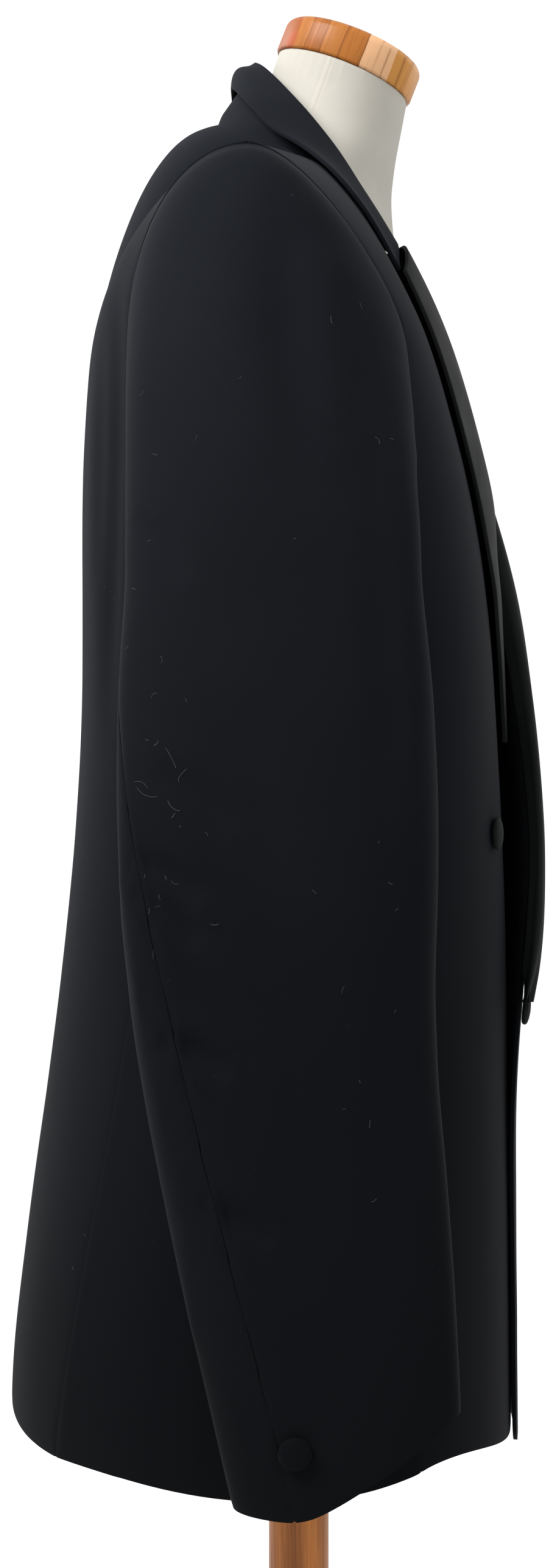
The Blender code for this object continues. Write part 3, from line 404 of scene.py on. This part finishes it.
class Nodes:
    """Short calls for building one node material."""

    def __init__(self, name):
        self.material = bpy.data.materials.new(name)
        self.material.use_nodes = True
        self.tree = self.material.node_tree
        self.shader = self.tree.nodes["Principled BSDF"]
        self.where = self.make("ShaderNodeTexCoord").outputs["Object"]

    def make(self, kind, inputs=None, **settings):
        """A new node, with links or values for its inputs."""
        node = self.tree.nodes.new(kind)
        for key, value in settings.items():
            setattr(node, key, value)
        for key, value in (inputs or {}).items():
            if isinstance(value, bpy.types.NodeSocket):
                self.tree.links.new(value, node.inputs[key])
            else:
                node.inputs[key].default_value = value
        return node

    def mapped(self, scale=(1, 1, 1), rotation=(0, 0, 0)):
        """The place, stretched and turned."""
        return self.make("ShaderNodeMapping", {"Vector": self.where, "Scale": scale,
                                               "Rotation": rotation}).outputs[0]

    def axis(self, name):
        """One axis of the place."""
        return self.make("ShaderNodeSeparateXYZ", {"Vector": self.where}).outputs[name]

    def noise(self, scale, detail=2.0, vector=None, roughness=0.5, distortion=0.0):
        """Cloudy noise."""
        return self.make("ShaderNodeTexNoise", {"Vector": vector or self.where, "Scale": scale, "Detail": detail,
                                                "Roughness": roughness, "Distortion": distortion}).outputs["Fac"]

    def threads(self, scale, distortion, direction="X", rotation=(0, 0, 0), detail=2.0):
        """Fine parallel threads across a direction."""
        return self.make("ShaderNodeTexWave", {"Vector": self.mapped(rotation=rotation), "Scale": scale,
                                               "Distortion": distortion, "Detail": detail},
                         bands_direction=direction).outputs["Fac"]

    def ramp(self, value, *stops, kind="LINEAR"):
        """A colour ramp with stops of (place, colour)."""
        node = self.make("ShaderNodeValToRGB", {"Fac": value})
        ramp = node.color_ramp
        ramp.interpolation = kind
        while len(ramp.elements) < len(stops):
            ramp.elements.new(0.5)
        for element, (place, colour) in zip(ramp.elements, stops):
            element.position = place
            element.color = (*colour, 1.0)
        return node.outputs["Color"]

    def greys(self, value, *stops):
        """A neutral ramp with stops of (place, brightness)."""
        return self.ramp(value, *((place, (tone, tone, tone)) for place, tone in stops))

    def math(self, operation, a, b=0.0, c=0.0):
        """One sum."""
        return self.make("ShaderNodeMath", {0: a, 1: b, 2: c}, operation=operation).outputs[0]

    def mix(self, factor, a, b, blend="MIX"):
        """Two colours mixed."""
        return self.make("ShaderNodeMix", {"Factor": factor, 6: a, 7: b}, data_type="RGBA",
                         blend_type=blend).outputs[2]

    def finish(self, colour=None, rough=None, height=None, strength=0.3, distance=0.0002, **fixed):
        """The material, with colour, roughness and bump linked and other inputs set."""
        if colour is not None:
            self.tree.links.new(colour, self.shader.inputs["Base Color"])
        if rough is not None:
            self.tree.links.new(rough, self.shader.inputs["Roughness"])
        if height is not None:
            bump = self.make("ShaderNodeBump", {"Height": height, "Strength": strength, "Distance": distance})
            self.tree.links.new(bump.outputs[0], self.shader.inputs["Normal"])
        for key, value in fixed.items():
            self.shader.inputs[key.replace("_", " ")].default_value = value
        return self.material


def wool_material():
    """Fine black wool: a diagonal twill, a short nap, pale flecks and painted light that grows brighter upwards.
    """
    make = Nodes("black_wool")
    twill = make.threads(TWILL_SCALE, 2.0, rotation=TWILL_TURN, detail=1.0)
    height = make.math("ADD", make.math("MULTIPLY", twill, 0.25), make.noise(NAP_SCALE))
    tone = make.ramp(make.noise(7.0, 3.0), (0.30, WOOL_DARK), (0.70, WOOL_LIGHT))
    # painted light: the wool's colour is brighter higher up and darker towards the hem
    painted_height_light = make.greys(make.math("SUBTRACT", make.axis("Z"), PAINTED_LIGHT_FOOT), *PAINTED_LIGHT_BY_HEIGHT)
    tone = make.mix(1.0, tone, painted_height_light, "MULTIPLY")
    fleck = make.greys(make.noise(FLECK_SCALE, 1.0), (0.78, 0.0), (0.86, 1.0))
    colour = make.mix(fleck, tone, WOOL_FLECK)
    return make.finish(colour, height=height, strength=0.22, Roughness=0.92, Specular_IOR_Level=0.045,
                       Sheen_Weight=0.012, Sheen_Roughness=0.35, Sheen_Tint=WOOL_SHEEN)


def satin_material():
    """Black satin: smooth, with a soft wide sheen and very fine floats."""
    make = Nodes("black_satin")
    floats = make.threads(FLOAT_SCALE, 0.8, "Z")
    soft = make.noise(14.0)
    rise = make.math("SUBTRACT", make.axis("Z"), SATIN_FOOT)
    colour = make.ramp(soft, (0.35, SATIN_DARK), (0.70, SATIN_LIGHT))
    # painted shade: the satin's colour is darker towards the lapel's foot
    colour = make.mix(1.0, colour, make.greys(rise, *SATIN_PAINTED_SHADE), "MULTIPLY")
    rough = make.math("ADD", make.greys(make.noise(40.0), (0.3, 0.56), (0.7, 0.66)),
                      make.greys(rise, *SATIN_DULL))
    height = make.math("ADD", make.math("MULTIPLY", floats, 0.2), make.math("MULTIPLY", soft, 3.0))
    return make.finish(colour, rough, height, strength=0.20, distance=0.0003, Specular_IOR_Level=0.03)


def linen_material():
    """Off-white plain-woven cover, with the neck's side seam as a narrow raised welt."""
    make = Nodes("cream_linen")
    warp = make.threads(WEAVE_SCALE, 1.0, "Z")
    weft = make.threads(WEAVE_SCALE, 1.0, "Y")
    lean = make.math("MULTIPLY_ADD", make.axis("Z"), SEAM_SLOPE, SEAM_OFFSET)
    across = make.math("ABSOLUTE", make.math("ADD", make.axis("Y"), lean))
    steps = make.math("MULTIPLY", across, SEAM_STEPS)
    welt = make.greys(steps, (0.10, 1.0), (0.28, 0.0))
    groove = make.greys(steps, (0.24, 0.0), (0.32, 1.0), (0.42, 0.0))
    weave = make.math("ADD", make.math("MULTIPLY", warp, 0.25), make.math("MULTIPLY", weft, 0.25))
    height = make.math("ADD", weave, make.math("MULTIPLY", welt, 3.0))
    tone = make.ramp(make.noise(12.0, 4.0), (0.30, LINEN_DARK), (0.72, LINEN_LIGHT))
    colour = make.mix(make.math("MULTIPLY", groove, 0.35), tone, LINEN_SHADE)
    return make.finish(colour, height=height, strength=0.22, distance=0.0003, Roughness=0.92,
                       Specular_IOR_Level=0.20, Sheen_Weight=0.03)


def wood_material(name, scale):
    """Varnished wood, its grain along the axis with the smallest scale."""
    make = Nodes(name)
    grain = make.noise(1.0, 6.0, make.mapped(scale), 0.6, 0.4)
    fine = make.noise(1.0, 2.0, make.mapped(FINE_GRAIN))
    both = make.math("ADD", make.math("MULTIPLY", grain, 0.75), make.math("MULTIPLY", fine, 0.25))
    colour = make.ramp(both, (0.36, WOOD_DARK), (0.64, WOOD_LIGHT))
    rough = make.greys(grain, (0.3, 0.30), (0.7, 0.45))
    return make.finish(colour, rough, both, strength=0.15, distance=0.0003, Coat_Weight=0.02,
                       Coat_Roughness=0.3, Specular_IOR_Level=0.12)


def cap_material():
    """The neck cap's glued staves, with grain along the cap's axis, dark glue lines and a knot."""
    make = Nodes("honey_wood")
    wander = make.math("MULTIPLY", make.noise(60.0), STAVE_WANDER)
    share = make.math("ADD", make.math("MULTIPLY_ADD", make.axis("Y"), STAVE_SLOPE, STAVE_MIDDLE), wander)
    tones = make.ramp(share, *STAVES, kind="CONSTANT")
    lines = make.noise(1.0, 4.0, make.mapped(STREAK_SCALE), 0.6, 0.3)
    streak = make.greys(lines, (0.50, 0.0), (0.66, 1.0))
    colour = make.mix(make.math("MULTIPLY", streak, 0.55), tones, CAP_STREAK)
    for stave in GLUED:
        line = make.math("ABSOLUTE", make.math("SUBTRACT", share, stave.start))
        glue = make.greys(make.math("MULTIPLY", line, FADE_STEPS), (0.12, 0.75), (0.40, 0.0))
        colour = make.mix(glue, colour, CAP_GLUE)
    knot = make.make("ShaderNodeVectorMath", {0: make.where, 1: KNOT_PLACE}, operation="DISTANCE")
    spot = make.greys(make.math("MULTIPLY", knot.outputs["Value"], FADE_STEPS), (0.10, 0.85), (0.42, 0.0))
    colour = make.mix(spot, colour, CAP_KNOT)
    rough = make.greys(lines, (0.3, 0.32), (0.7, 0.46))
    return make.finish(colour, rough, lines, strength=0.12, distance=0.0003, Coat_Weight=0.03,
                       Coat_Roughness=0.3, Specular_IOR_Level=0.12)


def fibre_material():
    """Pale loose fibre."""
    make = Nodes("pale_fibre")
    dark, light = FIBRE_TONES
    return make.finish(make.greys(make.noise(300.0), (0.3, dark), (0.7, light)), Roughness=0.8)


def floor_material():
    """Plain pale floor."""
    make = Nodes("pale_floor")
    dark, light = FLOOR_TONES
    return make.finish(make.greys(make.noise(3.0), (0.3, dark), (0.7, light)), Roughness=0.9,
                       Specular_IOR_Level=0.1)


def set_material(node, material):
    """Give a CAD node a new material in its slots."""
    slots = frame["nodes"][node].data.materials
    for index in range(len(slots)):
        slots[index] = material


def dress(obj, material, *nodes):
    """Finish a piece: smooth shading, one material, riding on the part in place of its CAD nodes."""
    obj.data.shade_smooth()
    obj.data.materials.clear()
    obj.data.materials.append(material)
    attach(obj, "root")
    if nodes:
        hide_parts(*nodes)
    return obj


def form_shell(material):
    """The form's torso and neck, made smooth, with a sharp edge under the cap."""
    obj = add("form_cover", as_mesh("form_cover", quads("form_torso")))
    creases = obj.data.attributes.new("crease_edge", "FLOAT", "EDGE").data
    for edge in obj.data.edges:
        if all(obj.data.vertices[index].co.z > CAP_RIM_Z for index in edge.vertices):
            creases[edge.index].value = 1.0
    subdivide(obj)
    return dress(obj, material, "form_torso")


def turned(name, outline, segments, tucks=0, depth=0.0):
    """A solid turned round Z from an outline of (radius, z), with small radial tucks outside its middle."""
    verts, faces = [], []
    for ring, (radius, z) in enumerate(outline):
        for step in range(segments):
            turn = 2 * math.pi * step / segments
            wave = 1 + (depth * math.sin(tucks * turn) if tucks and 0.2 * len(outline) < ring else 0.0)
            verts.append((radius * wave * math.cos(turn), radius * wave * math.sin(turn), z))
    for ring in range(len(outline) - 1):
        for step in range(segments):
            after = (step + 1) % segments
            faces.append((ring * segments + step, (ring + 1) * segments + step,
                          (ring + 1) * segments + after, ring * segments + after))
    faces.append(tuple(range(segments)))
    faces.append(tuple((len(outline) - 1) * segments + step for step in reversed(range(segments))))
    mesh = bpy.data.meshes.new(name)
    mesh.from_pydata(verts, [], faces)
    return add(name, mesh)


def button(node, radius, height, material):
    """A cloth-covered button: domed, with a rolled rim and fine tucks under it."""
    points, _ = arrays(frame["nodes"][node].data)
    centre = (points.min(0) + points.max(0)) / 2
    axis = np.linalg.svd(points - points.mean(0), full_matrices=False)[2][2]
    outward = np.array((centre[0], 0.0 if "cuff" in node else centre[1] - BUTTON_LINE_Y, 0.0))
    axis = axis * (1 if axis @ outward > 0 else -1)
    dome = [(radius * math.sin(turn), height * (0.50 + 0.50 * math.cos(turn)))
            for turn in (math.radians(3 + 6 * step) for step in range(13))]
    rim = [(radius * wide, height * high) for wide, high in BUTTON_RIM]
    obj = turned(node + "_cover", dome + rim, BUTTON_SEGMENTS, BUTTON_TUCKS, TUCK_DEPTH)
    obj.data.transform(Vector(axis).to_track_quat("Z", "Y").to_matrix().to_4x4())
    obj.location = centre - axis * height / 2
    return dress(obj, material, node)


def neck_cap(material):
    """The neck cap with its rounded top edge."""
    corner = [(CAP_RADIUS - CAP_ROUND * (1 - math.sin(turn)), CAP_HEIGHT - CAP_ROUND * (1 - math.cos(turn)))
              for turn in (math.radians(90 * step / 8) for step in range(9))]
    outline = ([(0.002, CAP_HEIGHT), (0.6 * CAP_RADIUS, CAP_HEIGHT)] + corner
               + [(CAP_RADIUS, 0.6 * CAP_HEIGHT), (CAP_RADIUS, 0.0016), (CAP_RADIUS - 0.0006, 0.0005),
                  (CAP_RADIUS - 0.0016, 0.0), (0.5 * CAP_RADIUS, 0.0), (0.002, 0.0)])
    obj = turned("cap_turned", outline, CAP_SEGMENTS)
    obj.location = CAP_PLACE
    obj.rotation_euler = (CAP_TILT, 0.0, 0.0)
    return dress(obj, material, "neck_cap")


def lint(piece, material, side, spot):
    """Tiny pale fibres caught on the cloth's outer face."""
    rng = np.random.default_rng(spot.seed)
    points, normals = arrays(piece.data)
    fit = np.where((normals[:, 0] * side > LINT_FACING)
                   & (points[:, 1] > spot.span_y[0]) & (points[:, 1] < spot.span_y[1])
                   & (points[:, 2] > spot.span_z[0]) & (points[:, 2] < spot.span_z[1]))[0]
    verts, faces = [], []
    for index in rng.choice(fit, size=spot.count, replace=False):
        normal = Vector(normals[index])
        place = Vector(points[index]) + normal * LINT_LIFT
        heading = normal.cross(Vector(rng.normal(size=3))).normalized()
        length = rng.uniform(*spot.lengths)
        bend = rng.uniform(-LINT_BEND, LINT_BEND)
        thick = rng.uniform(*LINT_THICK)
        for step in range(LINT_STEPS + 1):
            across = heading.cross(normal).normalized()
            for corner in (across * thick, normal * thick, -across * thick, -normal * thick):
                verts.append(place + corner)
            if step:
                base = len(verts) - 8
                for edge in range(4):
                    after = (edge + 1) % 4
                    faces.append((base + edge, base + after, base + 4 + after, base + 4 + edge))
            else:
                faces.append(tuple(range(len(verts) - 4, len(verts))))
            place = place + heading * length / LINT_STEPS
            heading = (heading + across * bend / LINT_STEPS).normalized()
        faces.append(tuple(reversed(range(len(verts) - 4, len(verts)))))
    mesh = bpy.data.meshes.new(piece.name + "_lint")
    mesh.from_pydata(verts, [], faces)
    return dress(add(piece.name + "_lint", mesh), material)


def add_lamp(lamp):
    """A soft area light."""
    data = bpy.data.lights.new(lamp.name, "AREA")
    data.shape = "RECTANGLE"
    data.size, data.size_y = lamp.size
    data.energy = lamp.power
    obj = add(lamp.name, data)
    obj.location = lamp.place
    obj.rotation_euler = (Vector(lamp.target) - Vector(lamp.place)).to_track_quat("-Z", "Y").to_euler()


def add_camera():
    """The photograph's level camera on the wearer's right."""
    data = bpy.data.cameras.new("camera")
    data.sensor_fit = "VERTICAL"
    data.sensor_height = SENSOR
    data.lens = FOCAL_PX * SENSOR / PHOTO_HEIGHT
    data.shift_y = (HORIZON_ROW - PHOTO_HEIGHT / 2) / PHOTO_HEIGHT
    camera = add("camera", data)
    camera.location = CAMERA_PLACE
    camera.rotation_euler = (math.pi / 2, 0, -math.pi / 2)
    bpy.context.scene.camera = camera


def add_stage():
    """Plain pale floor, pale surroundings and soft studio light."""
    world = bpy.data.worlds.new("studio")
    world.use_nodes = True
    world.node_tree.nodes["Background"].inputs["Color"].default_value = (1.0, 1.0, 1.0, 1.0)
    world.node_tree.nodes["Background"].inputs["Strength"].default_value = WORLD_STRENGTH
    bpy.context.scene.world = world
    bpy.context.scene.view_settings.view_transform = "Standard"
    half = FLOOR_HALF
    mesh = bpy.data.meshes.new("floor")
    mesh.from_pydata([(-half, -half, 0), (half, -half, 0), (half, half, 0), (-half, half, 0)], [], [(0, 1, 2, 3)])
    mesh.materials.append(floor_material())
    floor = add("floor", mesh)
    floor.location.z = -FLOOR_DROP
    for lamp in LAMPS:
        add_lamp(lamp)


def sheet_area(obj):
    """Area of one face of a shell."""
    return sum(polygon.area for polygon in obj.data.polygons) / 2


def declare(piece, cut):
    """Round the area of one face of a piece of cloth; nothing is done with it."""
    round(sheet_area(piece), 4)


def main():
    """Dress every node."""
    add_camera()
    add_stage()
    wool, satin = wool_material(), satin_material()
    form_shell(linen_material())
    pieces = {}
    for name, _ in SIDES:
        for cut in CUTS:
            node = cut.part + "_" + name
            is_lapel = cut.part == "lapel"
            pieces[node] = cloth(node, satin if is_lapel else wool, SATIN_WAVES if is_lapel else WOOL_WAVES)
    for cut in COLLAR_CUTS:
        pieces[cut.part] = cloth(cut.part, wool, COLLAR_WAVES, COLLAR_SHELL, dip=0.0)
    for name, _ in SIDES:
        for cut in CUTS:
            declare(pieces[cut.part + "_" + name], cut)
    for cut in COLLAR_CUTS:
        declare(pieces[cut.part], cut)
    set_material("pole", wood_material("brown_wood", POLE_GRAIN))
    set_material("base", wood_material("base_wood", BASE_GRAIN))
    neck_cap(cap_material())
    for name in BUTTON_FRONTS:
        button("button_" + name, *FRONT_BUTTON, satin)
    for name, _ in SIDES:
        button("cuff_button_" + name, *CUFF_BUTTON, wool)
    fibre = fibre_material()
    for name, side in SIDES:
        for spot in LINT:
            lint(pieces[spot.part + "_" + name], fibre, side, spot)


main()
